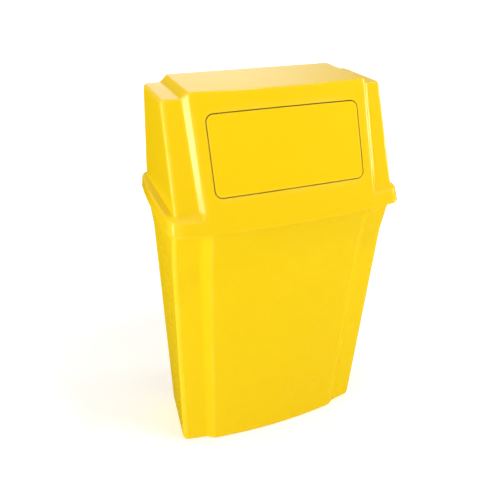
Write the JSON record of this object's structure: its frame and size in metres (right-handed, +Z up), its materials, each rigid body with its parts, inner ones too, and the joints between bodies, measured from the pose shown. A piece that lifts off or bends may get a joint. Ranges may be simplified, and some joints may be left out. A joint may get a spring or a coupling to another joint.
{
  "type": "waste bin",
  "caption": "Tapered free-standing waste bin with a lift-off hood and a flush, spring-closed push flap in the hood's sloping front.",
  "frame": {"origin": "centre of the footprint's bounding box, on the floor", "axes": "+Z up, +X to the right of a person facing the flap door, -Y towards that person"},
  "size_m": [0.502, 0.302, 0.826],
  "materials": {
    "body_plastic": "satin moulded polyethylene, yellow",
    "hood_plastic": "satin moulded polyethylene, yellow",
    "door_plastic": "satin moulded polyethylene, yellow",
    "rod_steel": "zinc plated",
    "spring_steel": "bright drawn wire",
    "nut_steel": "zinc plated"
  },
  "bodies": {
    "bin": {"bin_body": "body_plastic"},
    "hood": {"hood_shell": "hood_plastic", "hinge_rod": "rod_steel", "left_door_spring": "spring_steel", "right_door_spring": "spring_steel", "left_push_nut": "nut_steel", "right_push_nut": "nut_steel"},
    "door": {"flap_door": "door_plastic"}
  },
  "joints": [
    {"name": "hood_lift", "type": "slide", "parent": "bin", "child": "hood", "axis": [0, 0, 1], "range_m": [0, 0.25]},
    {"name": "door_hinge", "type": "hinge", "parent": "hood", "child": "door", "pos_m": [0, -0.05, 0.79], "axis": [1, 0, 0], "range_deg": [0, 80], "stiffness_Nm_per_rad": 0.15, "springref_deg": -45.84, "deforming": ["left_door_spring", "right_door_spring"]}
  ]
}
